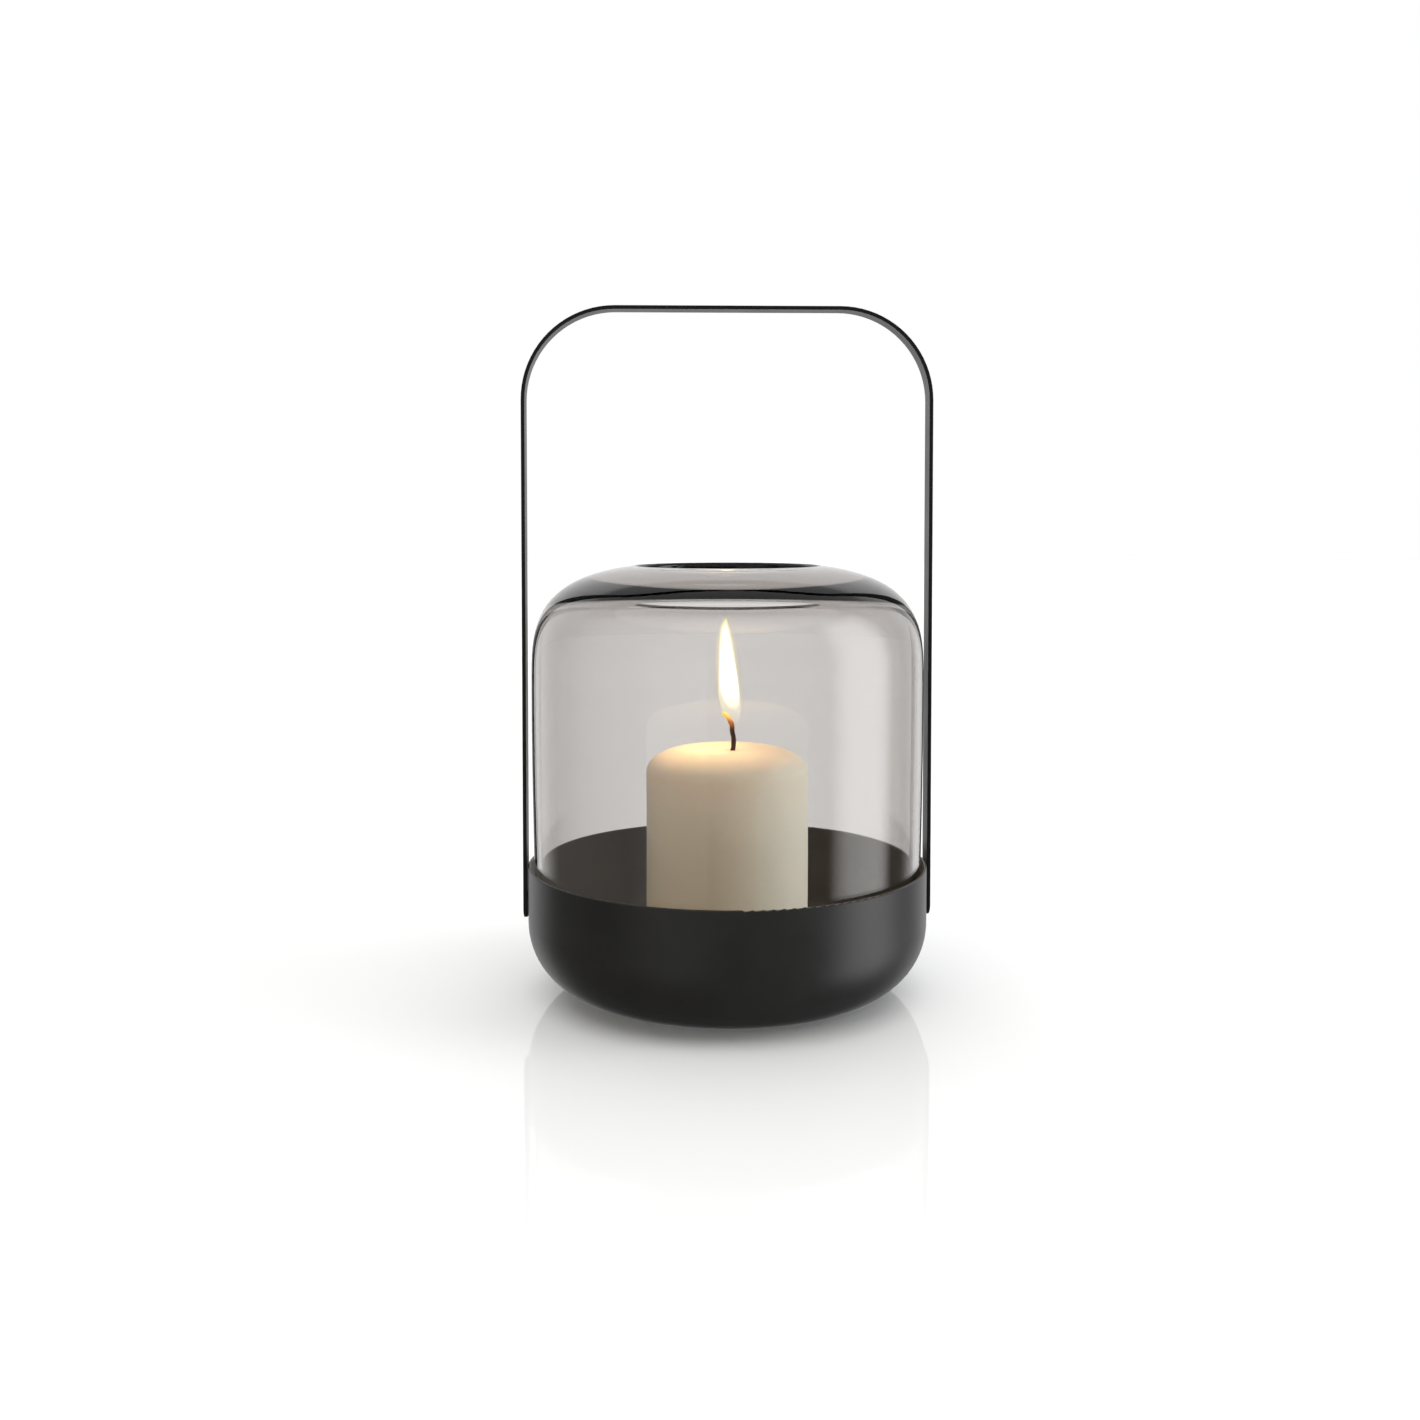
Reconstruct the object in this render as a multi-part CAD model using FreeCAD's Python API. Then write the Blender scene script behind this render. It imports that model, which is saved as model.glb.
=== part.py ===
import FreeCAD, Part
import math
import os
from FreeCAD import Vector

# Candle lantern: a powder-coated steel bowl, a loose blown-glass shade that stands in it,
# a flat strap handle pivoted on the bowl's wall, and a pillar candle on the bowl's floor.
# Frame: +Z is up, the origin is on the table under the centre of the bowl, and the X axis
# is parallel to the line through the two handle pivots. All sizes are in millimetres.

# Bowl, pressed from sheet steel.
BOWL_RADIUS = 86.0
BOWL_HEIGHT = 54.0
BOWL_WALL = 1.2
BOWL_CORNER_RADIUS = 30.0

# Silicone feet under the bowl's floor.
FOOT_COUNT = 3
FOOT_RADIUS = 6.0
FOOT_HEIGHT = 1.0
FOOT_CIRCLE_RADIUS = 44.0

# Glass shade. The wall leans out slightly to its widest level, where the shoulder starts.
# The shoulder is a quarter of a superellipse, cut off at the opening. Towards the opening
# the wall gains its extra thickness between the thin and the thick radius.
GLASS_RADIUS = 84.2
GLASS_FOOT_RADIUS = 82.6
GLASS_WALL = 3.0
SHOULDER_START_Z = 134.3
SHOULDER_CROWN = 50.5
SHOULDER_CROWN_WALL = 3.3
SHOULDER_POWER = 3.3
CROWN_EXTRA_WALL = 2.0
CROWN_THICK_RADIUS = 58.0
CROWN_THIN_RADIUS = 80.0
LIP_RADIUS = 40.6
LIP_BULGE = 1.7
GLASS_SEAT_GAP = 0.3

# Strap handle, one flat bar bent into an upturned U.
STRAP_WIDTH = 12.0
STRAP_THICKNESS = 1.6
STRAP_HALF_SPAN = 88.0
STRAP_CORNER_RADIUS = 40.0
STRAP_TOP_Z = 294.0
STRAP_EDGE_ROUND = 0.35

# Pivots: a rivet flush with the strap's outer face, turning in a nylon bush in the wall.
PIVOT_Z = 37.0
RIVET_RADIUS = 2.0
RIVET_SINK_RADIUS = 3.2
RIVET_SINK_DEPTH = 1.0
RIVET_HEAD_RADIUS = 4.0
RIVET_HEAD_THICKNESS = 0.9
RIVET_HEAD_GAP = 0.2
PIVOT_CLEARANCE = 0.05
BUSH_RADIUS = 3.0
BUSH_FLANGE_RADIUS = 5.5

# Pillar candle, its wick and the tinned disc that holds the wick's lower end.
CANDLE_RADIUS = 35.0
CANDLE_HEIGHT = 102.0
CANDLE_ROUND_WIDTH = 18.0
CANDLE_ROUND_DROP = 10.0
CANDLE_FOOT_ROUND = 2.0
CANDLE_DISH_RADIUS = 15.0
CANDLE_DISH_DEPTH = 1.0
CANDLE_SEAT_GAP = 0.1
WICK_RADIUS = 1.1
WICK_OFFSET = 2.2
WICK_STRAIGHT = 8.0
WICK_BEND_RADIUS = 8.5
WICK_BEND_ANGLE = 60.0
SUSTAINER_RADIUS = 10.0
SUSTAINER_THICKNESS = 0.5
SUSTAINER_COLLAR_RADIUS = 2.0
SUSTAINER_COLLAR_HEIGHT = 4.0

# Levels and radii that follow from the sizes above.
BOWL_RIM_Z = FOOT_HEIGHT + BOWL_HEIGHT
BOWL_FLOOR_Z = FOOT_HEIGHT + BOWL_WALL
BOWL_CORNER_Z = FOOT_HEIGHT + BOWL_CORNER_RADIUS
BOWL_FLOOR_RADIUS = BOWL_RADIUS - BOWL_CORNER_RADIUS
STRAP_INNER_X = STRAP_HALF_SPAN - STRAP_THICKNESS
BUSH_FLANGE_THICKNESS = STRAP_INNER_X - BOWL_RADIUS - PIVOT_CLEARANCE
CANDLE_BASE_Z = BOWL_FLOOR_Z + CANDLE_SEAT_GAP
CANDLE_TOP_Z = CANDLE_BASE_Z + CANDLE_HEIGHT

X_AXIS = Vector(1, 0, 0)
Y_AXIS = Vector(0, 1, 0)
Z_AXIS = Vector(0, 0, 1)
ORIGIN = Vector(0, 0, 0)


def save(shape, node):
    """Write one piece as its own STEP file."""
    shape.exportStep("parts/" + node + ".step")


def in_section(radius, height):
    """A point of a turned piece's half section, in the XZ plane."""
    return Vector(radius, 0, height)


def line(start, end):
    return Part.LineSegment(start, end).toShape()


def arc(start, middle, end):
    return Part.Arc(start, middle, end).toShape()


def revolved(edges):
    """Turn a closed half section round the Z axis into a solid."""
    face = Part.Face(Part.Wire(edges))
    return face.revolve(ORIGIN, Z_AXIS, 360)


def corner_arc(centre, radius, start_angle, end_angle):
    """An arc of the half section about a centre, its angles in degrees from +X towards +Z."""
    points = []
    for angle in (start_angle, (start_angle + end_angle) / 2, end_angle):
        turn = math.radians(angle)
        step = Vector(radius * math.cos(turn), 0, radius * math.sin(turn))
        points.append(centre + step)
    return arc(*points)


def bowl_shell():
    """The bowl's wall, its large lower round and its flat floor, with a rounded rim."""
    inner_radius = BOWL_RADIUS - BOWL_WALL
    rim_round = BOWL_WALL / 2
    rim_start_z = BOWL_RIM_Z - rim_round
    corner = in_section(BOWL_FLOOR_RADIUS, BOWL_CORNER_Z)
    edges = [
        line(in_section(0, FOOT_HEIGHT), in_section(BOWL_FLOOR_RADIUS, FOOT_HEIGHT)),
        corner_arc(corner, BOWL_CORNER_RADIUS, -90, 0),
        line(in_section(BOWL_RADIUS, BOWL_CORNER_Z), in_section(BOWL_RADIUS, rim_start_z)),
        corner_arc(in_section(BOWL_RADIUS - rim_round, rim_start_z), rim_round, 0, 180),
        line(in_section(inner_radius, rim_start_z), in_section(inner_radius, BOWL_CORNER_Z)),
        corner_arc(corner, BOWL_CORNER_RADIUS - BOWL_WALL, 0, -90),
        line(in_section(BOWL_FLOOR_RADIUS, BOWL_FLOOR_Z), in_section(0, BOWL_FLOOR_Z)),
        line(in_section(0, BOWL_FLOOR_Z), in_section(0, FOOT_HEIGHT)),
    ]
    return revolved(edges)


def bowl():
    """The bowl with a hole through its wall on each side for the pivot bushes."""
    pivot_hole = Part.makeCylinder(BUSH_RADIUS, 4 * BOWL_RADIUS,
                                   Vector(-2 * BOWL_RADIUS, 0, PIVOT_Z), X_AXIS)
    return bowl_shell().cut(pivot_hole)


def foot(number):
    """One round silicone foot, on a circle under the bowl's floor."""
    turn = math.radians(90 + 360 * number / FOOT_COUNT)
    centre = Vector(FOOT_CIRCLE_RADIUS * math.cos(turn), FOOT_CIRCLE_RADIUS * math.sin(turn), 0)
    pad = Part.makeCylinder(FOOT_RADIUS, FOOT_HEIGHT, centre)
    lower_edge = [edge for edge in pad.Edges if edge.BoundBox.ZMax < FOOT_HEIGHT / 2]
    return pad.makeFillet(FOOT_HEIGHT * 0.4, lower_edge)


def shoulder(radius, crown):
    """Points of the superellipse from the shoulder's start in to the lip's centre line."""
    steps = 16
    first_share = LIP_RADIUS / radius
    last_turn = math.acos(first_share ** (SHOULDER_POWER / 2))
    points = []
    for step in range(steps + 1):
        turn = last_turn * step / steps
        out = radius * math.cos(turn) ** (2 / SHOULDER_POWER)
        up = crown * math.sin(turn) ** (2 / SHOULDER_POWER)
        points.append(in_section(out, SHOULDER_START_Z + up))
    return points


def thickened(point):
    """A point of the crown's inner face, lowered the more the nearer it is to the lip."""
    share = (CROWN_THIN_RADIUS - point.x) / (CROWN_THIN_RADIUS - CROWN_THICK_RADIUS)
    share = min(1.0, max(0.0, share))
    return point - in_section(0, CROWN_EXTRA_WALL * share * share * (3 - 2 * share))


def smooth_curve(points):
    """A curve through the points that leaves the first one straight up."""
    curve = Part.BSplineCurve()
    end_tangent = (points[-1] - points[-2]).normalize()
    curve.interpolate(Points=points, InitialTangent=Z_AXIS, FinalTangent=end_tangent)
    return curve.toShape()


def glass_foot_centre():
    """Where the glass's rounded lower edge rests, just clear of the bowl's lower round."""
    radius = GLASS_FOOT_RADIUS - GLASS_WALL / 2
    reach = BOWL_CORNER_RADIUS - BOWL_WALL - GLASS_WALL / 2 - GLASS_SEAT_GAP
    drop = math.sqrt(reach ** 2 - (radius - BOWL_FLOOR_RADIUS) ** 2)
    return in_section(radius, BOWL_CORNER_Z - drop)


def glass_wall_line(shift):
    """The wall's slight outward lean, as one arc that meets the shoulder without a kink."""
    foot_point = glass_foot_centre() + in_section(GLASS_WALL / 2 + shift, 0)
    top = in_section(GLASS_RADIUS + shift, SHOULDER_START_Z)
    lean = top.x - foot_point.x
    middle_z = (foot_point.z + top.z) / 2
    middle = in_section(top.x - lean / 4, middle_z)
    return arc(foot_point, middle, top)


def glass_shade():
    """The blown shade: wall, broad shoulder and a fire-polished lip round the opening."""
    outer = shoulder(GLASS_RADIUS, SHOULDER_CROWN)
    inner = shoulder(GLASS_RADIUS - GLASS_WALL, SHOULDER_CROWN - SHOULDER_CROWN_WALL)
    inner = [thickened(point) for point in inner]
    lip_middle = (outer[-1] + inner[-1]) * 0.5 - in_section(LIP_BULGE, 0)
    edges = [
        glass_wall_line(0),
        smooth_curve(outer),
        arc(outer[-1], lip_middle, inner[-1]),
        smooth_curve(inner),
        glass_wall_line(-GLASS_WALL),
        corner_arc(glass_foot_centre(), GLASS_WALL / 2, 0, -180),
    ]
    return revolved(Part.__sortEdges__(edges))


def strap_outline(half_span, top_z, corner_radius):
    """Upturned U in the XZ plane, as a closed region down to the strap's lower ends."""
    low_z = PIVOT_Z - STRAP_WIDTH / 2
    corner_z = top_z - corner_radius
    corner_x = half_span - corner_radius
    return Part.Face(Part.Wire([
        line(in_section(-half_span, low_z), in_section(-half_span, corner_z)),
        corner_arc(in_section(-corner_x, corner_z), corner_radius, 180, 90),
        line(in_section(-corner_x, top_z), in_section(corner_x, top_z)),
        corner_arc(in_section(corner_x, corner_z), corner_radius, 90, 0),
        line(in_section(half_span, corner_z), in_section(half_span, low_z)),
        line(in_section(half_span, low_z), in_section(-half_span, low_z)),
    ]))


def strap_side_shape():
    """The strap seen from its side: a straight band with a half-round end at the pivot."""
    half = STRAP_WIDTH / 2
    left = Vector(-2 * STRAP_HALF_SPAN, -half, PIVOT_Z)
    right = Vector(-2 * STRAP_HALF_SPAN, half, PIVOT_Z)
    lowest = Vector(-2 * STRAP_HALF_SPAN, 0, PIVOT_Z - half)
    rise = Vector(0, 0, STRAP_TOP_Z)
    outline = Part.Wire([
        arc(left, lowest, right),
        line(right, right + rise),
        line(right + rise, left + rise),
        line(left + rise, left),
    ])
    return Part.Face(outline).extrude(X_AXIS * (4 * STRAP_HALF_SPAN))


def rivet_along_x(side, start_x, end_x, start_radius, end_radius=None):
    """A round bar or cone on the pivot's line, on the right (+1) or left (-1) side."""
    base = Vector(side * start_x, 0, PIVOT_Z)
    if end_radius is None:
        return Part.makeCylinder(start_radius, end_x - start_x, base, X_AXIS * side)
    return Part.makeCone(start_radius, end_radius, end_x - start_x, base, X_AXIS * side)


def handle_strap():
    """The bent strap with soft edges and a countersunk rivet hole near each end."""
    outer = strap_outline(STRAP_HALF_SPAN, STRAP_TOP_Z, STRAP_CORNER_RADIUS)
    inner = strap_outline(STRAP_INNER_X, STRAP_TOP_Z - STRAP_THICKNESS,
                          STRAP_CORNER_RADIUS - STRAP_THICKNESS)
    band = outer.cut(inner)
    band.translate(Y_AXIS * -STRAP_WIDTH)
    strap = band.extrude(Y_AXIS * (2 * STRAP_WIDTH)).common(strap_side_shape())
    strap = strap.Solids[0]
    long_edges = [edge for edge in strap.Edges if edge.Length > 2 * STRAP_THICKNESS]
    strap = strap.makeFillet(STRAP_EDGE_ROUND, long_edges)
    for side in (1, -1):
        strap = strap.cut(rivet_shank(side))
    return strap.Solids[0]


def rivet_shank(side):
    """The rivet from its inner head out to the strap's face, where it flares flush."""
    flare_x = STRAP_HALF_SPAN - RIVET_SINK_DEPTH
    inner_x = BOWL_RADIUS - BOWL_WALL - RIVET_HEAD_GAP
    shank = rivet_along_x(side, inner_x, STRAP_HALF_SPAN, RIVET_RADIUS)
    flare = rivet_along_x(side, flare_x, STRAP_HALF_SPAN, RIVET_RADIUS, RIVET_SINK_RADIUS)
    return shank.fuse(flare).removeSplitter()


def handle_rivet(side):
    """One pivot rivet, with a thin flat head against the inside of the bowl's wall."""
    head_end_x = BOWL_RADIUS - BOWL_WALL - RIVET_HEAD_GAP
    head = rivet_along_x(side, head_end_x - RIVET_HEAD_THICKNESS, head_end_x, RIVET_HEAD_RADIUS)
    return head.fuse(rivet_shank(side)).removeSplitter().Solids[0]


def pivot_bush(side):
    """Nylon shoulder washer: a sleeve in the wall's hole and a thin flange outside it."""
    sleeve = rivet_along_x(side, BOWL_RADIUS - 2 * BOWL_WALL, BOWL_RADIUS, BUSH_RADIUS)
    inner_wall = Part.makeCylinder(BOWL_RADIUS - BOWL_WALL, BOWL_RIM_Z)
    flange = rivet_along_x(side, BOWL_RADIUS, BOWL_RADIUS + BUSH_FLANGE_THICKNESS,
                           BUSH_FLANGE_RADIUS)
    bore = rivet_along_x(side, BOWL_RADIUS - 4 * BOWL_WALL, STRAP_HALF_SPAN,
                         RIVET_RADIUS + PIVOT_CLEARANCE)
    return sleeve.cut(inner_wall).fuse(flange).cut(bore).removeSplitter().Solids[0]


def candle_wick():
    """Wick: up through the wax a little right of centre, then curling over to the left."""
    turn = math.radians(WICK_BEND_ANGLE)
    low = in_section(WICK_OFFSET, CANDLE_BASE_Z + SUSTAINER_THICKNESS)
    bend = in_section(WICK_OFFSET, CANDLE_TOP_Z + WICK_STRAIGHT)

    def on_bend(share):
        angle = turn * share
        return bend + Vector(WICK_BEND_RADIUS * (math.cos(angle) - 1), 0,
                             WICK_BEND_RADIUS * math.sin(angle))

    path = Part.Wire([line(low, bend), arc(bend, on_bend(0.5), on_bend(1))])
    section = Part.Wire([Part.makeCircle(WICK_RADIUS, low, Z_AXIS)])
    return path.makePipeShell([section], True, False)


def wick_sustainer():
    """Tinned disc in the candle's underside, with a short collar that grips the wick."""
    disc_base = in_section(WICK_OFFSET, CANDLE_BASE_Z)
    disc = Part.makeCylinder(SUSTAINER_RADIUS, SUSTAINER_THICKNESS, disc_base)
    collar_base = in_section(WICK_OFFSET, CANDLE_BASE_Z + SUSTAINER_THICKNESS)
    collar = Part.makeCylinder(SUSTAINER_COLLAR_RADIUS, SUSTAINER_COLLAR_HEIGHT, collar_base)
    wick_hole = Part.makeCylinder(WICK_RADIUS, SUSTAINER_COLLAR_HEIGHT, collar_base)
    return disc.fuse(collar).cut(wick_hole).removeSplitter().Solids[0]


def melted_round():
    """The half section's quarter ellipse from the candle's side up to its flat top."""
    centre = in_section(CANDLE_RADIUS - CANDLE_ROUND_WIDTH, CANDLE_TOP_Z - CANDLE_ROUND_DROP)
    side = centre + in_section(CANDLE_ROUND_WIDTH, 0)
    top = centre + in_section(0, CANDLE_ROUND_DROP)
    ellipse = Part.Ellipse(side, top, centre)
    return Part.ArcOfEllipse(ellipse, 0, math.pi / 2).toShape()


def candle_wax():
    """The pillar of wax, its top melted to a broad round with a shallow dish at the wick."""
    dish_low = in_section(0, CANDLE_TOP_Z - CANDLE_DISH_DEPTH)
    dish_rim = in_section(CANDLE_DISH_RADIUS, CANDLE_TOP_Z)
    dish_curve_radius = (CANDLE_DISH_RADIUS ** 2 + CANDLE_DISH_DEPTH ** 2) / (2 * CANDLE_DISH_DEPTH)
    half_turn = math.asin(CANDLE_DISH_RADIUS / dish_curve_radius) / 2
    dish_middle = in_section(dish_curve_radius * math.sin(half_turn),
                             dish_low.z + dish_curve_radius * (1 - math.cos(half_turn)))
    foot_centre = in_section(CANDLE_RADIUS - CANDLE_FOOT_ROUND, CANDLE_BASE_Z + CANDLE_FOOT_ROUND)
    side_top = in_section(CANDLE_RADIUS, CANDLE_TOP_Z - CANDLE_ROUND_DROP)
    flat_edge = in_section(CANDLE_RADIUS - CANDLE_ROUND_WIDTH, CANDLE_TOP_Z)
    wax = revolved([
        line(in_section(0, CANDLE_BASE_Z), in_section(foot_centre.x, CANDLE_BASE_Z)),
        corner_arc(foot_centre, CANDLE_FOOT_ROUND, -90, 0),
        line(in_section(CANDLE_RADIUS, foot_centre.z), side_top),
        melted_round(),
        line(flat_edge, dish_rim),
        arc(dish_rim, dish_middle, dish_low),
        line(dish_low, in_section(0, CANDLE_BASE_Z)),
    ])
    below = in_section(WICK_OFFSET, 0)
    wick_hole = Part.makeCylinder(WICK_RADIUS, CANDLE_TOP_Z, below)
    disc_pocket = Part.makeCylinder(SUSTAINER_RADIUS, CANDLE_BASE_Z + SUSTAINER_THICKNESS, below)
    collar_top_z = CANDLE_BASE_Z + SUSTAINER_THICKNESS + SUSTAINER_COLLAR_HEIGHT
    collar_pocket = Part.makeCylinder(SUSTAINER_COLLAR_RADIUS, collar_top_z, below)
    return wax.cut(wick_hole).cut(disc_pocket).cut(collar_pocket).Solids[0]


def main():
    os.makedirs("parts", exist_ok=True)
    save(bowl(), "bowl")
    for number in range(FOOT_COUNT):
        save(foot(number), "bowl_foot_" + str(number + 1))
    save(glass_shade(), "glass_shade")
    save(handle_strap(), "handle_strap")
    for side, name in ((1, "right"), (-1, "left")):
        save(handle_rivet(side), "handle_rivet_" + name)
        save(pivot_bush(side), "pivot_bush_" + name)
    save(candle_wax(), "candle_wax")
    save(candle_wick(), "candle_wick")
    save(wick_sustainer(), "wick_sustainer")


main()
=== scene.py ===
import math

import bpy
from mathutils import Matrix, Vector, noise


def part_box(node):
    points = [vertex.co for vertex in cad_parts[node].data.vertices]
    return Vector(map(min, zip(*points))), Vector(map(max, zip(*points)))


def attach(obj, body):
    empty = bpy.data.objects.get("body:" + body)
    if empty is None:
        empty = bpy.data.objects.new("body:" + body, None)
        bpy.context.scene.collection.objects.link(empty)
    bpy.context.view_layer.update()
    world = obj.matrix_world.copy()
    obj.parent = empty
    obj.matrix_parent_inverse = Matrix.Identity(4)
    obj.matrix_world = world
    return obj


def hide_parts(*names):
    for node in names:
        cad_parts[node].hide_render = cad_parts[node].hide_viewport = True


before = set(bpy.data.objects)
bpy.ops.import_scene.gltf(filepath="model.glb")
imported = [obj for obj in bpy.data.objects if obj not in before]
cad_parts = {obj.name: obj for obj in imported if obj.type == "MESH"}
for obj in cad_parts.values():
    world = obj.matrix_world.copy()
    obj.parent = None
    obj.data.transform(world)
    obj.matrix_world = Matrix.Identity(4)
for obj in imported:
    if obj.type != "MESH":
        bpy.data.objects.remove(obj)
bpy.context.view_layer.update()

# Candle lantern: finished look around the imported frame. All lengths are in metres.

MM = 0.001

# Camera, standing a little to the left of the line across the handle, almost level.
CAMERA_DISTANCE = 0.666
CAMERA_HEIGHT = 0.2053
CAMERA_TURN = math.radians(2.5)
CAMERA_PITCH = math.radians(2.51)
CAMERA_PAN = math.radians(0.64)
CAMERA_LENS = 39.14
CAMERA_SENSOR = 36.0
CAMERA_SHIFT = -0.09
CAMERA_CLIP_START = 0.01

# Glass shade, restated from the design: a slightly leaning wall under a superellipse shoulder.
GLASS_WALL = 3.0 * MM
SHOULDER_START = 134.3 * MM
SHOULDER_CROWN = 50.5 * MM
SHOULDER_CROWN_WALL = 3.3 * MM
SHOULDER_POWER = 3.3
LIP_RADIUS = 40.6 * MM
LIP_BULGE = 1.7 * MM
GLASS_FOOT_RADIUS = 82.6 * MM
GLASS_STEPS = 288
GLASS_WALL_STEPS = 40
SHOULDER_STEPS = 60
GLASS_EDGE_STEPS = 12

# The crown thickens towards the lip, as blown glass does where it was cracked off and melted back.
CROWN_EXTRA_WALL = 2.0 * MM
CROWN_THICK_RADIUS = 58.0 * MM
CROWN_THIN_RADIUS = 80.0 * MM

# Smoke glass: the tint that light takes on in its depth, and how quickly it does so.
SMOKE_COLOUR = (0.214, 0.139, 0.082)
SMOKE_DENSITY = 88.0

# Powder coat: how light and how glossy it is, and the painted light on the inside of the bowl: a
# lighter warm grey standing in for the light its hollow reflects.
BOWL_GREY = 0.013
BOWL_GLOSS = 0.5
BOWL_MIDDLE_Z = 45.0 * MM
INSIDE_PAINTED_LIGHT = (0.115, 0.103, 0.092)
STRAP_GREY = 0.008
STRAP_GLOSS = 0.25

# Candle: a pillar with a rounded top edge, a shallow dish and a bore down to its sustainer.
CANDLE_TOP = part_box("candle_wax")[1].z
WAX_STEPS = 192
WAX_WALL_STEPS = 40
WAX_ROUND_STEPS = 24
WAX_FOOT_STEPS = 6
WAX_ROUND_WIDTH = 18.0 * MM
WAX_ROUND_DROP = 10.0 * MM
WAX_FOOT_ROUND = 2.0 * MM
WAX_DISH_RADIUS = 15.0 * MM
WAX_DISH_DEPTH = 1.0 * MM
WAX_BORE_RING_DEPTH = 40.0 * MM
SUSTAINER_DISC = 0.5 * MM
SUSTAINER_COLLAR_RADIUS = 2.0 * MM

# Unevenness of the hand-made surfaces: pairs of waves per metre and their height. The wax's waves
# reach full height outside the calm radius.
GLASS_WAVES = ((22, 0.06 * MM), (55, 0.024 * MM))
WAX_WAVES = ((26, 0.16 * MM), (70, 0.04 * MM))
WAX_CALM_RADIUS = 30.0 * MM

# Wick: a lobed cord that twists, in radians over its length, and thins where its tip is burnt.
# Its lumps are waves per metre and their share of the radius.
WICK_RADIUS = 1.1 * MM
WICK_OFFSET = 2.2 * MM
WICK_SUNK = 3.0 * MM
WICK_SWAY = 0.7 * MM
WICK_STRAIGHT = 8.0 * MM
WICK_BEND_RADIUS = 8.5 * MM
WICK_BEND_ANGLE = math.radians(60)
WICK_STEPS = 24
WICK_LOBES = 3
WICK_LOBE_DEPTH = 0.08
WICK_TWIST = 26.0
WICK_LUMPS = (900, 0.08)
WICK_BURNT_START = 0.93
WICK_BURNT_AWAY = 0.45

# The flame's outline above the candle's top, in millimetres: height, left edge and right edge,
# from the thin skirt round the wick to the tip. The thinnest radius is in millimetres too.
FLAME_OUTLINE = [
    (8.5, 1.6, 5.2), (13.0, -1.8, 6.0), (19.7, -3.7, 5.9), (26.3, -4.1, 5.3), (35.2, -4.0, 4.2),
    (48.6, -3.6, 2.3), (57.0, -2.7, 0.9), (63.0, -0.9, -0.2),
]
FLAME_ROWS_BETWEEN = 6
FLAME_STEPS = 40
FLAME_THINNEST = 0.02

# Its layers, from the outside in: how far the layer grows past the outline in millimetres, the
# share of the height that it keeps to, and its glow. Colours and cover run up the whole height.
FLAME_LAYERS = {
    "flame_halo": {
        "grow": 1.7, "keep": (0.1, 1.0), "strength": 1.0,
        "colours": [(0.0, (1.0, 0.74, 0.50)), (1.0, (1.0, 0.80, 0.50))],
        "cover": [(0.0, 0.0), (0.25, 0.03), (0.5, 0.06), (0.85, 0.03), (1.0, 0.0)],
    },
    "flame_skin": {
        "grow": 0.35, "keep": (0.0, 1.0), "strength": 1.15,
        "colours": [(0.0, (0.95, 0.85, 0.70)), (0.3, (1.0, 0.86, 0.50)),
                    (0.85, (1.0, 0.93, 0.50)), (1.0, (0.80, 0.82, 0.40))],
        "cover": [(0.0, 0.0), (0.12, 0.06), (0.35, 0.2), (0.8, 0.28), (1.0, 0.16)],
    },
    "flame_body": {
        "grow": -0.3, "keep": (0.05, 0.975), "strength": 1.7,
        "colours": [(0.0, (1.0, 0.88, 0.62)), (0.35, (1.0, 0.92, 0.66)),
                    (0.85, (1.0, 0.97, 0.72)), (1.0, (0.95, 0.95, 0.45))],
        "cover": [(0.0, 0.0), (0.1, 0.1), (0.3, 0.4), (0.8, 0.55), (1.0, 0.3)],
    },
    "flame_core": {
        "grow": -1.0, "keep": (0.14, 0.93), "strength": 4.0,
        "colours": [(0.0, (1.0, 0.90, 0.62)), (0.4, (1.0, 0.97, 0.85)),
                    (1.0, (1.0, 0.98, 0.85))],
        "cover": [(0.0, 0.0), (0.14, 0.0), (0.28, 0.3), (0.42, 0.85), (0.82, 0.9), (0.93, 0.3)],
    },
}

# The light that the flame throws on the wax and the bowl.
FLAME_POWER = 0.26
FLAME_LIGHT_COLOUR = (1.0, 0.60, 0.24)
FLAME_LIGHT_RADIUS = 6.0 * MM
FLAME_LIGHT_X = -2.0 * MM
FLAME_LIGHT_HEIGHT = 38.0 * MM

# Studio: how bright each part of the surroundings is, as seen in gloss and through the glass.
# Starts and ends are along the direction's own axes: 1 is straight behind, right or up.
ROOM_LEVEL = 0.10
ROOM_START = 0.25
ROOM_END = 0.65
CEILING_LEVEL = 0.5
CEILING_START = 0.60
CEILING_END = 0.75
BACKDROP_START = 0.40
BACKDROP_END = 0.86
BELOW_START = -0.75
BELOW_END = -0.35
RIGHT_PANEL_TURN = math.radians(83)
RIGHT_PANEL_LEVEL = 2.5
RIGHT_PANEL_START = 0.89
LEFT_PANEL_LEVEL = 0.42
LEFT_PANEL_EDGE = -0.22
LEFT_PANEL_EDGE_WIDTH = 0.03
LEFT_PANEL_FADE = -0.60
LEFT_PANEL_BACK_EDGE = 0.1
PANEL_CROSSINGS = 2.0

# Lamps: far soft suns, with spreads, turns and the low pair's rise in degrees.
OVERHEAD_ENERGY = 1.55
OVERHEAD_ANGLE = 80.0
SIDE_ENERGY = 2.7
SIDE_ANGLE = 50.0
SIDE_TURN = 84.0
SIDE_COLOUR = (0.93, 0.98, 1.0)
FILL_ENERGY = 0.85
FILL_ANGLE = 60.0
FILL_TURN = -35.0
FILL_COLOUR = (1.0, 0.86, 0.64)
LOW_LAMP_RISE = 4.0

# Table top: matte white under a weak mirror that fades out round the lantern.
FLOOR_REACH = 6.0
FLOOR_WHITE = 0.92
MIRROR_IOR = 1.33
MIRROR_LIMIT = 0.3
MIRROR_FADE_START = 0.3
MIRROR_FADE_END = 1.3


# ---------------------------------------------------------------- mesh helpers

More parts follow.
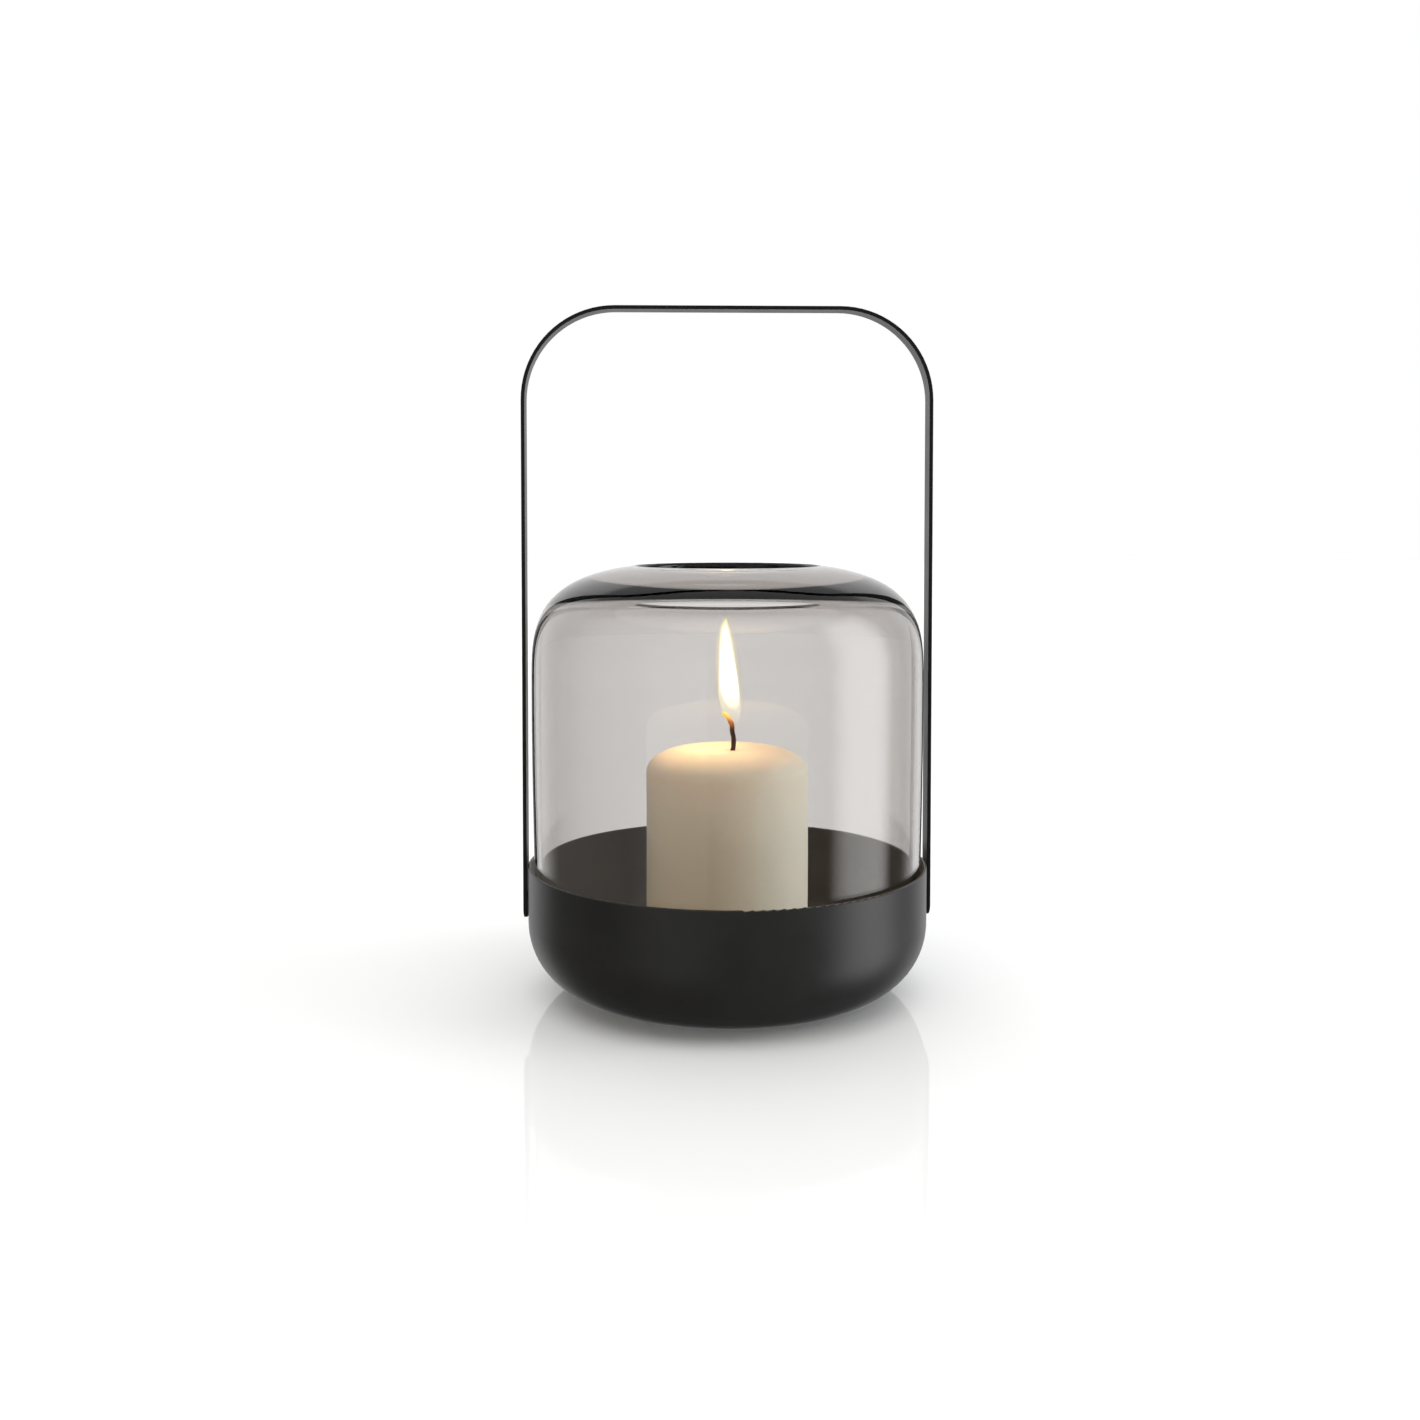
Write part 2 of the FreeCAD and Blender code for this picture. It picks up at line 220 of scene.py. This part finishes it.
def new_mesh_object(name, points, faces):
    mesh = bpy.data.meshes.new(name)
    mesh.from_pydata([tuple(point) for point in points], [], faces)
    mesh.update()
    mesh.shade_smooth()
    piece = bpy.data.objects.new(name, mesh)
    bpy.context.scene.collection.objects.link(piece)
    return piece


def loft(name, rings, closed_loop=False):
    """Join rings of equal point counts into a skin: last to first, or else with both ends capped."""
    count = len(rings[0])
    points = [point for ring in rings for point in ring]
    faces = []
    pairs = len(rings) if closed_loop else len(rings) - 1
    for low in range(pairs):
        high = (low + 1) % len(rings)
        for step in range(count):
            after = (step + 1) % count
            faces.append((low * count + step, low * count + after,
                          high * count + after, high * count + step))
    if not closed_loop:
        for ring_index, flip in ((0, True), (len(rings) - 1, False)):
            points.append(sum(rings[ring_index], Vector()) / count)
            hub = len(points) - 1
            for step in range(count):
                here = ring_index * count + step
                after = ring_index * count + (step + 1) % count
                faces.append((after, here, hub) if flip else (here, after, hub))
    return new_mesh_object(name, points, faces)


def turned(name, section, steps, reshape):
    """Turn a closed section of (radius, height) points, all off the axis, round Z."""
    turns = [math.tau * step / steps for step in range(steps)]
    rings = []
    for radius, height in section:
        rings.append([
            reshape(Vector((radius * math.cos(turn), radius * math.sin(turn), height)))
            for turn in turns])
    return loft(name, rings, closed_loop=True)


def arc_points(centre, radius, start_angle, end_angle, steps):
    """Section points on an arc, its angles in degrees from outward (0) to up (90)."""
    points = []
    for step in range(steps + 1):
        angle = math.radians(start_angle + (end_angle - start_angle) * step / steps)
        points.append((centre[0] + radius * math.cos(angle), centre[1] + radius * math.sin(angle)))
    return points


def uneven(point, waves):
    """A step outwards from the axis, as far as the waves stand at this point."""
    outward = Vector((point.x, point.y, 0)).normalized()
    return outward * sum(height * noise.noise(point * fineness) for fineness, height in waves)


# ---------------------------------------------------------------- node helpers

class Tree:
    """Short calls for building a node tree."""

    def __init__(self, tree):
        self.tree = tree

    def add(self, kind, **settings):
        node = self.tree.nodes.new(kind)
        for key, value in settings.items():
            setattr(node, key, value)
        return node

    def link(self, source, target):
        self.tree.links.new(source, target)

    def feed(self, value, target):
        """Link a socket to another one, or set a fixed value on it."""
        if isinstance(value, bpy.types.NodeSocket):
            self.link(value, target)
        else:
            target.default_value = value

    def math(self, operation, first, *others):
        """Fold values into one with the same operation."""
        result = first
        for other in others:
            node = self.add("ShaderNodeMath", operation=operation)
            self.feed(result, node.inputs[0])
            self.feed(other, node.inputs[1])
            result = node.outputs["Value"]
        return result

    def vector(self, operation, *values):
        """The outputs of a vector operation: "Vector", or "Value" where it gives a number."""
        node = self.add("ShaderNodeVectorMath", operation=operation)
        for value, target in zip(values, node.inputs):
            self.feed(value, target)
        return node.outputs

    def axis(self, source, letter):
        node = self.add("ShaderNodeSeparateXYZ")
        self.link(source, node.inputs["Vector"])
        return node.outputs[letter]

    def spread(self, source, low, high, source_low=0.3, source_high=0.7, kind="LINEAR"):
        """Map a span of a value, by default the usual span of a noise, to a chosen span."""
        node = self.add("ShaderNodeMapRange", interpolation_type=kind)
        node.inputs["From Min"].default_value = source_low
        node.inputs["From Max"].default_value = source_high
        node.inputs["To Min"].default_value = low
        node.inputs["To Max"].default_value = high
        self.link(source, node.inputs["Value"])
        return node.outputs["Result"]

    def mix(self, share, first, second):
        """The first shader where the share is 0 and the second where it is 1."""
        node = self.add("ShaderNodeMixShader")
        for source, target in zip((share, first, second), node.inputs):
            self.link(source, target)
        return node.outputs["Shader"]


class MaterialTree(Tree):
    """One material's node tree."""

    def __init__(self, name):
        self.material = bpy.data.materials.new(name)
        self.material.use_nodes = True
        super().__init__(self.material.node_tree)
        self.shader = self.tree.nodes["Principled BSDF"]
        self.output = self.tree.nodes["Material Output"]

    def set(self, **values):
        for key, value in values.items():
            self.shader.inputs[key.replace("_", " ")].default_value = value

    def drive(self, name, source):
        self.link(source, self.shader.inputs[name])

    def place(self):
        return self.add("ShaderNodeTexCoord").outputs["Object"]

    def noise(self, scale, detail):
        node = self.add("ShaderNodeTexNoise")
        node.inputs["Scale"].default_value = scale
        node.inputs["Detail"].default_value = detail
        self.link(self.place(), node.inputs["Vector"])
        return node.outputs["Fac"]

    def ramp(self, source, stops):
        node = self.add("ShaderNodeValToRGB")
        ramp = node.color_ramp
        while len(ramp.elements) < len(stops):
            ramp.elements.new(0.5)
        for element, (position, colour) in zip(ramp.elements, stops):
            element.position = position
            element.color = (*colour, 1.0)
        self.link(source, node.inputs["Fac"])
        return node.outputs["Color"]

    def bump(self, height, strength, distance):
        node = self.add("ShaderNodeBump")
        node.inputs["Strength"].default_value = strength
        node.inputs["Distance"].default_value = distance
        self.link(height, node.inputs["Height"])
        self.drive("Normal", node.outputs["Normal"])


def grey(value):
    return (value, value, value)


# ---------------------------------------------------------------- materials

def powder_coat(name, level, gloss):
    """Satin black powder coat: fine orange-peel grain, slightly uneven gloss."""
    nodes = MaterialTree(name)
    cloud = nodes.noise(38.0, 4.0)
    grain = nodes.noise(2200.0, 2.0)
    nodes.drive("Base Color", nodes.ramp(cloud, [(0.3, grey(level * 0.85)),
                                                 (0.7, grey(level * 1.15))]))
    nodes.drive("Roughness", nodes.spread(cloud, 0.36, 0.42))
    nodes.set(Specular_IOR_Level=gloss)
    nodes.bump(grain, 0.05, 0.03 * MM)
    return nodes


def bowl_coat():
    """The same coat, with painted light where the surface faces the bowl's middle: the hollow takes a
    lighter warm grey in place of the light it reflects.
    """
    nodes = powder_coat("bowl_coat", BOWL_GREY, BOWL_GLOSS)
    plain = nodes.shader.inputs["Base Color"].links[0].from_socket
    from_middle = nodes.vector("SUBTRACT", nodes.place(), (0, 0, BOWL_MIDDLE_Z))["Vector"]
    normal = nodes.add("ShaderNodeTexCoord").outputs["Normal"]
    facing = nodes.vector("DOT_PRODUCT", from_middle, normal)["Value"]
    outer = nodes.spread(facing, 0.0, 1.0, -1 * MM, 1 * MM)
    mix = nodes.add("ShaderNodeMix", data_type="RGBA")
    # The mix node repeats its socket names for each kind of data, so these go by their places.
    share, painted_light_colour, coat = [mix.inputs[index] for index in (0, 6, 7)]
    # Painted light: this lighter warm grey on the inside stands in for the light that the bowl's
    # hollow reflects.
    painted_light_colour.default_value = (*INSIDE_PAINTED_LIGHT, 1)
    nodes.link(outer, share)
    nodes.link(plain, coat)
    nodes.drive("Base Color", mix.outputs[2])
    return nodes.material


def smoke_glass():
    """Clear-surfaced blown glass whose grey comes only from how far light goes through it."""
    nodes = MaterialTree("smoke_glass")
    nodes.set(Base_Color=(1, 1, 1, 1), Roughness=0.0, IOR=1.5, Transmission_Weight=1.0)
    depth = nodes.add("ShaderNodeVolumeAbsorption")
    depth.inputs["Color"].default_value = (*SMOKE_COLOUR, 1)
    depth.inputs["Density"].default_value = SMOKE_DENSITY
    nodes.link(depth.outputs["Volume"], nodes.output.inputs["Volume"])
    return nodes.material


def candle_wax_material():
    """Ivory wax: soft light inside it, a faintly mottled colour and a dull polish."""
    nodes = MaterialTree("candle_wax")
    mottle = nodes.noise(40.0, 3.0)
    fine = nodes.noise(260.0, 2.0)
    nodes.drive("Base Color", nodes.ramp(mottle, [(0.3, (0.84, 0.775, 0.64)),
                                                  (0.7, (0.88, 0.82, 0.69))]))
    nodes.drive("Roughness", nodes.spread(fine, 0.42, 0.52))
    nodes.set(Subsurface_Weight=0.6, Subsurface_Radius=(1.0, 0.62, 0.36), Subsurface_Scale=14 * MM,
              Specular_IOR_Level=0.3)
    nodes.bump(fine, 0.04, 0.05 * MM)
    return nodes.material


def wick_material(low, high):
    """Charred cotton, brown low down and glowing yellow at the tip."""
    nodes = MaterialTree("burnt_wick")
    level = nodes.spread(nodes.axis(nodes.place(), "Z"), 0.0, 1.0, low, high)
    nodes.drive("Base Color", nodes.ramp(level, [
        (0.0, (0.05, 0.022, 0.014)), (0.45, (0.02, 0.01, 0.012)), (0.75, (0.12, 0.035, 0.01)),
        (1.0, (0.5, 0.25, 0.04))]))
    nodes.drive("Emission Color", nodes.ramp(level, [
        (0.0, (0, 0, 0)), (0.55, (0.02, 0.004, 0.001)), (0.75, (0.6, 0.16, 0.02)),
        (0.9, (1.0, 0.62, 0.06)), (1.0, (1.0, 0.75, 0.12))]))
    nodes.set(Emission_Strength=1.0, Roughness=0.85)
    nodes.bump(nodes.noise(2500.0, 3.0), 0.5, 0.2 * MM)
    return nodes.material


def flame_material(name, low, high, layer):
    """One layer of the flame: its colour and cover change with the height alone."""
    nodes = MaterialTree(name)
    level = nodes.spread(nodes.axis(nodes.place(), "Z"), 0.0, 1.0, low, high)
    cover = [(share, grey(amount)) for share, amount in layer["cover"]]
    nodes.drive("Emission Color", nodes.ramp(level, layer["colours"]))
    nodes.drive("Alpha", nodes.ramp(level, cover))
    nodes.set(Base_Color=(0, 0, 0, 1), Emission_Strength=layer["strength"], Roughness=1.0,
              Specular_IOR_Level=0.0)
    return nodes.material


def plain_polymer(name, level, roughness, grain_scale):
    """Black nylon or silicone with a fine moulded grain."""
    nodes = MaterialTree(name)
    grain = nodes.noise(grain_scale, 3.0)
    nodes.drive("Base Color", nodes.ramp(grain, [(0.3, grey(level * 0.8)),
                                                 (0.7, grey(level * 1.2))]))
    nodes.drive("Roughness", nodes.spread(grain, roughness - 0.06, roughness + 0.06))
    nodes.bump(grain, 0.2, 0.05 * MM)
    return nodes.material


def tinned_steel():
    nodes = MaterialTree("tinned_steel")
    grain = nodes.noise(900.0, 3.0)
    nodes.drive("Base Color", nodes.ramp(grain, [(0.3, grey(0.5)), (0.7, grey(0.66))]))
    nodes.drive("Roughness", nodes.spread(grain, 0.25, 0.4))
    nodes.set(Metallic=1.0)
    return nodes.material


def studio_floor():
    """White table top, faintly mirrored round the lantern. Gloss on the object looks past it."""
    nodes = MaterialTree("studio_floor")
    nodes.set(Base_Color=(*grey(FLOOR_WHITE), 1), Roughness=1.0, Specular_IOR_Level=0.0)
    mirror = nodes.add("ShaderNodeBsdfGlossy")
    mirror.inputs["Color"].default_value = (1, 1, 1, 1)
    nodes.link(nodes.spread(nodes.noise(6.0, 2.0), 0.02, 0.035), mirror.inputs["Roughness"])
    edge = nodes.add("ShaderNodeFresnel")
    edge.inputs["IOR"].default_value = MIRROR_IOR
    capped = nodes.math("MINIMUM", edge.outputs["Fac"], MIRROR_LIMIT)
    distance = nodes.vector("LENGTH", nodes.place())["Value"]
    fade = nodes.spread(distance, 1.0, 0.0, MIRROR_FADE_START, MIRROR_FADE_END)
    polished = nodes.mix(nodes.math("MULTIPLY", capped, fade),
                         nodes.shader.outputs["BSDF"], mirror.outputs["BSDF"])
    rays = nodes.add("ShaderNodeLightPath")
    already_mirrored = nodes.math("MINIMUM", rays.outputs["Glossy Depth"], 1.0)
    clear = nodes.add("ShaderNodeBsdfTransparent").outputs["BSDF"]
    nodes.link(nodes.mix(already_mirrored, polished, clear), nodes.output.inputs["Surface"])
    return nodes.material


# ---------------------------------------------------------------- glass shade

def shoulder_points(radius, crown):
    """The superellipse from the shoulder's start in to the lip, in even turns."""
    last_turn = math.acos((LIP_RADIUS / radius) ** (SHOULDER_POWER / 2))
    points = []
    for step in range(SHOULDER_STEPS + 1):
        turn = last_turn * step / SHOULDER_STEPS
        points.append((radius * math.cos(turn) ** (2 / SHOULDER_POWER),
                       SHOULDER_START + crown * math.sin(turn) ** (2 / SHOULDER_POWER)))
    return points


def wall_points(top_radius, low_radius, low_z):
    """The wall's slight lean, a parabola that meets the shoulder without a kink."""
    points = []
    for step in range(GLASS_WALL_STEPS):
        share = step / GLASS_WALL_STEPS
        height = low_z + (SHOULDER_START - low_z) * share
        points.append((top_radius - (top_radius - low_radius) * (1 - share) ** 2, height))
    return points


def thicken(point):
    """Lower a point of the crown's inner face, the more the nearer it is to the lip."""
    radius, height = point
    share = (CROWN_THIN_RADIUS - radius) / (CROWN_THIN_RADIUS - CROWN_THICK_RADIUS)
    share = min(1.0, max(0.0, share))
    return radius, height - CROWN_EXTRA_WALL * share * share * (3 - 2 * share)


def lip_points(top_z, low_z):
    """The rounded lip, from just past the outer face to just before the inner one."""
    middle_z = (top_z + low_z) / 2
    half_height = (top_z - low_z) / 2
    points = []
    for step in range(1, GLASS_EDGE_STEPS):
        turn = math.pi * step / GLASS_EDGE_STEPS
        points.append((LIP_RADIUS - LIP_BULGE * math.sin(turn),
                       middle_z + half_height * math.cos(turn)))
    return points


def glass_section(low_z, radius):
    """Up the outside, over the lip, down the inside and round the foot."""
    foot_z = low_z + GLASS_WALL / 2
    outer = wall_points(radius, GLASS_FOOT_RADIUS, foot_z)
    outer += shoulder_points(radius, SHOULDER_CROWN)
    inner = wall_points(radius - GLASS_WALL, GLASS_FOOT_RADIUS - GLASS_WALL, foot_z)
    inner += shoulder_points(radius - GLASS_WALL, SHOULDER_CROWN - SHOULDER_CROWN_WALL)
    inner = [thicken(point) for point in inner]
    lip = lip_points(outer[-1][1], inner[-1][1])
    foot = arc_points((GLASS_FOOT_RADIUS - GLASS_WALL / 2, foot_z), GLASS_WALL / 2, 180, 360,
                      GLASS_EDGE_STEPS)
    return outer + lip + inner[::-1] + foot[1:-1]


def hand_blown(point):
    """The faint waviness that blowing leaves in a glass wall."""
    return point + uneven(point, GLASS_WAVES)


def make_shade():
    low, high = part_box("glass_shade")
    shade = turned("shade_glass", glass_section(low.z, high.x), GLASS_STEPS, hand_blown)
    shade.data.materials.append(smoke_glass())
    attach(shade, "shade")
    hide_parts("glass_shade")


# ---------------------------------------------------------------- candle

def wax_section():
    """Up the outside from the sustainer's pocket, over the top, in to the bore and down it."""
    low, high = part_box("candle_wax")
    disc_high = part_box("wick_sustainer")[1]
    side_low = low.z + WAX_FOOT_ROUND
    side_top = high.z - WAX_ROUND_DROP
    section = [(disc_high.x, low.z)]
    section += arc_points((high.x - WAX_FOOT_ROUND, side_low), WAX_FOOT_ROUND, -90, 0,
                          WAX_FOOT_STEPS)
    for step in range(1, WAX_WALL_STEPS):
        section.append((high.x, side_low + (side_top - side_low) * step / WAX_WALL_STEPS))
    for step in range(WAX_ROUND_STEPS + 1):
        turn = math.pi / 2 * step / WAX_ROUND_STEPS
        section.append((high.x - WAX_ROUND_WIDTH * (1 - math.cos(turn)),
                        side_top + WAX_ROUND_DROP * math.sin(turn)))
    for step in range(1, WAX_ROUND_STEPS + 1):
        out = WAX_DISH_RADIUS + (WICK_RADIUS - WAX_DISH_RADIUS) * step / WAX_ROUND_STEPS
        dip = WAX_DISH_DEPTH * (1 - (out / WAX_DISH_RADIUS) ** 2)
        section.append((out, high.z - dip))
    disc_top = low.z + SUSTAINER_DISC
    section += [(WICK_RADIUS, high.z - WAX_BORE_RING_DEPTH), (WICK_RADIUS, disc_high.z),
                (SUSTAINER_COLLAR_RADIUS, disc_high.z), (SUSTAINER_COLLAR_RADIUS, disc_top),
                (disc_high.x, disc_top)]
    return section


def worn_wax(point):
    """Hand-poured wax is never quite round or flat, and its bore follows the wick off the axis."""
    radius = math.hypot(point.x, point.y)
    wave = uneven(point, WAX_WAVES) * min(1, radius / WAX_CALM_RADIUS)
    share = (WAX_DISH_RADIUS - radius) / (WAX_DISH_RADIUS - SUSTAINER_COLLAR_RADIUS)
    shift = Vector((WICK_OFFSET * min(1, max(0, share)), 0, 0))
    return point + wave + shift


def make_wax():
    wax = turned("candle_pillar", wax_section(), WAX_STEPS, worn_wax)
    wax.data.materials.append(candle_wax_material())
    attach(wax, "candle")
    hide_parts("candle_wax")


def wick_path():
    """Centre line: up from the wax with a sway to the right, then over to the left."""
    points = []
    base_z = CANDLE_TOP - WICK_SUNK
    bend_z = CANDLE_TOP + WICK_STRAIGHT
    for step in range(WICK_STEPS):
        share = step / WICK_STEPS
        sway = WICK_SWAY * math.sin(math.pi * share) ** 2
        points.append(Vector((WICK_OFFSET + sway, 0, base_z + (bend_z - base_z) * share)))
    for step in range(WICK_STEPS + 1):
        turn = WICK_BEND_ANGLE * step / WICK_STEPS
        points.append(Vector((WICK_OFFSET + WICK_BEND_RADIUS * (math.cos(turn) - 1), 0,
                              bend_z + WICK_BEND_RADIUS * math.sin(turn))))
    return points


def wick_thickness(centre, share):
    """The cord's radius at a share of its length: a little lumpy, and burnt away at the tip."""
    fineness, height = WICK_LUMPS
    burnt = max(0, share - WICK_BURNT_START) / (1 - WICK_BURNT_START)
    return WICK_RADIUS * (1 + height * noise.noise(centre * fineness)) * (1 - WICK_BURNT_AWAY * burnt)


def make_wick():
    """A braided wick: a three-lobed cord that twists along its line."""
    path = wick_path()
    rings = []
    for index, centre in enumerate(path):
        before, after = path[max(index - 1, 0)], path[min(index + 1, len(path) - 1)]
        side = Vector((0, 1, 0))
        across = (after - before).normalized().cross(side)
        share = index / (len(path) - 1)
        thick = wick_thickness(centre, share)
        ring = []
        for step in range(WICK_STEPS):
            turn = math.tau * step / WICK_STEPS
            dent = WICK_LOBE_DEPTH * (1 - math.cos(WICK_LOBES * turn + share * WICK_TWIST))
            reach = thick * (1 - dent)
            ring.append(centre + (across * math.cos(turn) + side * math.sin(turn)) * reach)
        rings.append(ring)
    wick = loft("burning_wick", rings)
    wick.data.materials.append(wick_material(CANDLE_TOP, path[-1].z))
    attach(wick, "candle")
    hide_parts("candle_wick")


# ---------------------------------------------------------------- flame

def smooth_outline():
    """Catmull-Rom points between the outline's rows, so that the flame's edge has no corners."""
    rows = FLAME_OUTLINE
    fine = []
    for index in range(len(rows) - 1):
        before, after = rows[max(index - 1, 0)], rows[min(index + 2, len(rows) - 1)]
        for part in range(FLAME_ROWS_BETWEEN):
            t = part / FLAME_ROWS_BETWEEN
            fine.append(tuple(
                0.5 * (2 * b + (c - a) * t + (2 * a - 5 * b + 4 * c - d) * t ** 2
                       + (3 * b - a - 3 * c + d) * t ** 3)
                for a, b, c, d in zip(before, rows[index], rows[index + 1], after)))
    fine.append(rows[-1])
    return fine


def flame_layer(name, grow, keep, material):
    """A closed skin round the flame's outline; keep is the share of its height that it fills."""
    rings = []
    low, high = FLAME_OUTLINE[0][0], FLAME_OUTLINE[-1][0]
    for height, left, right in smooth_outline():
        middle = 0.5 * (left + right) * MM
        reach = max(FLAME_THINNEST, 0.5 * (right - left) + grow) * MM
        share = keep[0] + (keep[1] - keep[0]) * (height - low) / (high - low)
        level = CANDLE_TOP + (low + (high - low) * share) * MM
        ring = []
        for step in range(FLAME_STEPS):
            turn = math.tau * step / FLAME_STEPS
            ring.append(Vector((middle + reach * math.cos(turn), reach * math.sin(turn), level)))
        rings.append(ring)
    layer = loft(name, rings)
    layer.data.materials.append(material)
    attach(layer, "candle")


def make_flame_light():
    glow = bpy.data.lights.new("flame_glow", "POINT")
    glow.energy = FLAME_POWER
    glow.color = FLAME_LIGHT_COLOUR
    glow.shadow_soft_size = FLAME_LIGHT_RADIUS
    lamp = bpy.data.objects.new("flame_glow", glow)
    lamp.location = (FLAME_LIGHT_X, 0, CANDLE_TOP + FLAME_LIGHT_HEIGHT)
    bpy.context.scene.collection.objects.link(lamp)
    lamp.visible_glossy = False
    lamp.visible_transmission = False
    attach(lamp, "candle")


def make_flame():
    low = CANDLE_TOP + FLAME_OUTLINE[0][0] * MM
    high = CANDLE_TOP + FLAME_OUTLINE[-1][0] * MM
    for name, layer in FLAME_LAYERS.items():
        material = flame_material(name, low, high, layer)
        flame_layer(name, layer["grow"], layer["keep"], material)
    make_flame_light()


# ---------------------------------------------------------------- frame finishes

def finish_frame():
    """Give every carried-over node its finished material."""
    finishes = [
        (["bowl"], bowl_coat()),
        (["handle_strap"], powder_coat("handle_coat", STRAP_GREY, STRAP_GLOSS).material),
        (["handle_rivet_left", "handle_rivet_right"],
         powder_coat("rivet_coat", STRAP_GREY, STRAP_GLOSS).material),
        (["pivot_bush_left", "pivot_bush_right"], plain_polymer("bush_nylon", 0.02, 0.5, 1500.0)),
        (["bowl_foot_1", "bowl_foot_2", "bowl_foot_3"],
         plain_polymer("foot_silicone", 0.04, 0.7, 1200.0)),
        (["wick_sustainer"], tinned_steel()),
    ]
    for names, material in finishes:
        for name in names:
            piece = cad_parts[name]
            if not piece.material_slots:
                piece.data.materials.append(material)
            for slot in piece.material_slots:
                slot.material = material


# ---------------------------------------------------------------- stage

def make_camera():
    data = bpy.data.cameras.new("camera")
    data.lens = CAMERA_LENS
    data.sensor_width = CAMERA_SENSOR
    data.shift_y = CAMERA_SHIFT
    data.clip_start = CAMERA_CLIP_START
    camera = bpy.data.objects.new("camera", data)
    camera.location = (-CAMERA_DISTANCE * math.sin(CAMERA_TURN),
                       -CAMERA_DISTANCE * math.cos(CAMERA_TURN), CAMERA_HEIGHT)
    camera.rotation_euler = (math.pi / 2 - CAMERA_PITCH, 0, CAMERA_PAN - CAMERA_TURN)
    bpy.context.scene.collection.objects.link(camera)
    bpy.context.scene.camera = camera


def make_floor():
    corners = [(-1, -1), (1, -1), (1, 1), (-1, 1)]
    points = [(x * FLOOR_REACH, y * FLOOR_REACH, 0) for x, y in corners]
    floor = new_mesh_object("floor", points, [(0, 1, 2, 3)])
    floor.data.materials.append(studio_floor())


class WorldTree(Tree):
    """The world's node tree; each value is one direction's brightness."""

    def __init__(self, name):
        self.world = bpy.data.worlds.new(name)
        self.world.use_nodes = True
        super().__init__(self.world.node_tree)
        self.tree.nodes.clear()
        place = self.add("ShaderNodeTexCoord").outputs["Generated"]
        flat = self.vector("MULTIPLY", place, (1, 1, 0))["Vector"]
        self.level = self.vector("NORMALIZE", flat)["Vector"]
        self.height = self.axis(place, "Z")
        self.side = self.axis(self.level, "X")
        self.depth = self.axis(self.level, "Y")

    def step(self, source, start, end, low, high):
        """A smooth change from one brightness to another."""
        return self.spread(source, low, high, start, end, "SMOOTHSTEP")

    def background(self, strength):
        node = self.add("ShaderNodeBackground")
        node.inputs["Color"].default_value = (1, 1, 1, 1)
        self.feed(strength, node.inputs["Strength"])
        return node.outputs["Background"]


def right_panel(nodes):
    """A bright panel that grows from its edge to its middle."""
    toward = (math.sin(RIGHT_PANEL_TURN), -math.cos(RIGHT_PANEL_TURN), 0)
    aim = nodes.vector("DOT_PRODUCT", nodes.level, toward)["Value"]
    return nodes.step(aim, RIGHT_PANEL_START, 1.0, 0.0, RIGHT_PANEL_LEVEL)


def left_panel(nodes):
    """A dim panel in front of the lantern, crisp at its inner edge and faded out to the left."""
    inner_edge = nodes.step(nodes.side, LEFT_PANEL_EDGE - LEFT_PANEL_EDGE_WIDTH, LEFT_PANEL_EDGE,
                            LEFT_PANEL_LEVEL, 0.0)
    fade = nodes.step(nodes.side, -1.0, LEFT_PANEL_FADE, 0.0, 1.0)
    in_front = nodes.step(nodes.depth, -LEFT_PANEL_BACK_EDGE, LEFT_PANEL_BACK_EDGE, 1.0, 0.0)
    return nodes.math("MULTIPLY", inner_edge, fade, in_front)


def make_world():
    """A white backdrop, a soft panel on the right, a dim one front left and a grey ceiling.

    The side panels show only to rays that have crossed few surfaces of glass, so that the far
    wall's mirror images of them are left out. The camera itself sees plain white.
    """
    nodes = WorldTree("studio")
    rays = nodes.add("ShaderNodeLightPath").outputs
    near_wall = nodes.step(rays["Transmission Depth"], PANEL_CROSSINGS, PANEL_CROSSINGS + 1,
                           1.0, 0.0)
    below_ceiling = nodes.step(nodes.height, CEILING_START, CEILING_END, 1.0, 0.0)
    above_floor = nodes.step(nodes.height, BELOW_START, BELOW_END, 0.0, 1.0)
    behind = nodes.step(nodes.depth, BACKDROP_START, BACKDROP_END, 0.0, 1.0)
    sides = nodes.math("MULTIPLY", nodes.math("MAXIMUM", right_panel(nodes), left_panel(nodes)),
                       near_wall)
    panels = nodes.math("MULTIPLY", nodes.math("MAXIMUM", behind, sides), below_ceiling,
                        above_floor)
    room = nodes.step(nodes.height, ROOM_START, ROOM_END, ROOM_LEVEL, CEILING_LEVEL)
    lit = nodes.background(nodes.math("MAXIMUM", panels, room))
    seen = nodes.mix(rays["Is Camera Ray"], lit, nodes.background(1.0))
    output = nodes.add("ShaderNodeOutputWorld")
    nodes.link(seen, output.inputs["Surface"])
    bpy.context.scene.world = nodes.world


def soft_sun(name, energy, spread, tilt, turn, colour=(1, 1, 1)):
    """Even soft light from one direction, which lights surfaces and shows in no gloss."""
    data = bpy.data.lights.new(name, "SUN")
    data.energy = energy
    data.angle = math.radians(spread)
    data.color = colour
    lamp = bpy.data.objects.new(name, data)
    lamp.rotation_euler = (math.radians(tilt), 0, math.radians(turn))
    lamp.visible_glossy = False
    bpy.context.scene.collection.objects.link(lamp)
    return lamp


def make_lights():
    """One sun overhead, and a low pair that casts no shadows and isn't seen through the glass."""
    soft_sun("overhead", OVERHEAD_ENERGY, OVERHEAD_ANGLE, 0.0, 0.0)
    low = 90.0 - LOW_LAMP_RISE
    side = soft_sun("side_light", SIDE_ENERGY, SIDE_ANGLE, low, SIDE_TURN, SIDE_COLOUR)
    fill = soft_sun("fill_light", FILL_ENERGY, FILL_ANGLE, low, FILL_TURN, FILL_COLOUR)
    for lamp in (side, fill):
        lamp.data.use_shadow = False
        lamp.visible_transmission = False


def main():
    bpy.context.scene.view_settings.view_transform = "Standard"
    make_camera()
    make_floor()
    make_world()
    make_lights()
    finish_frame()
    make_shade()
    make_wax()
    make_wick()
    make_flame()


main()
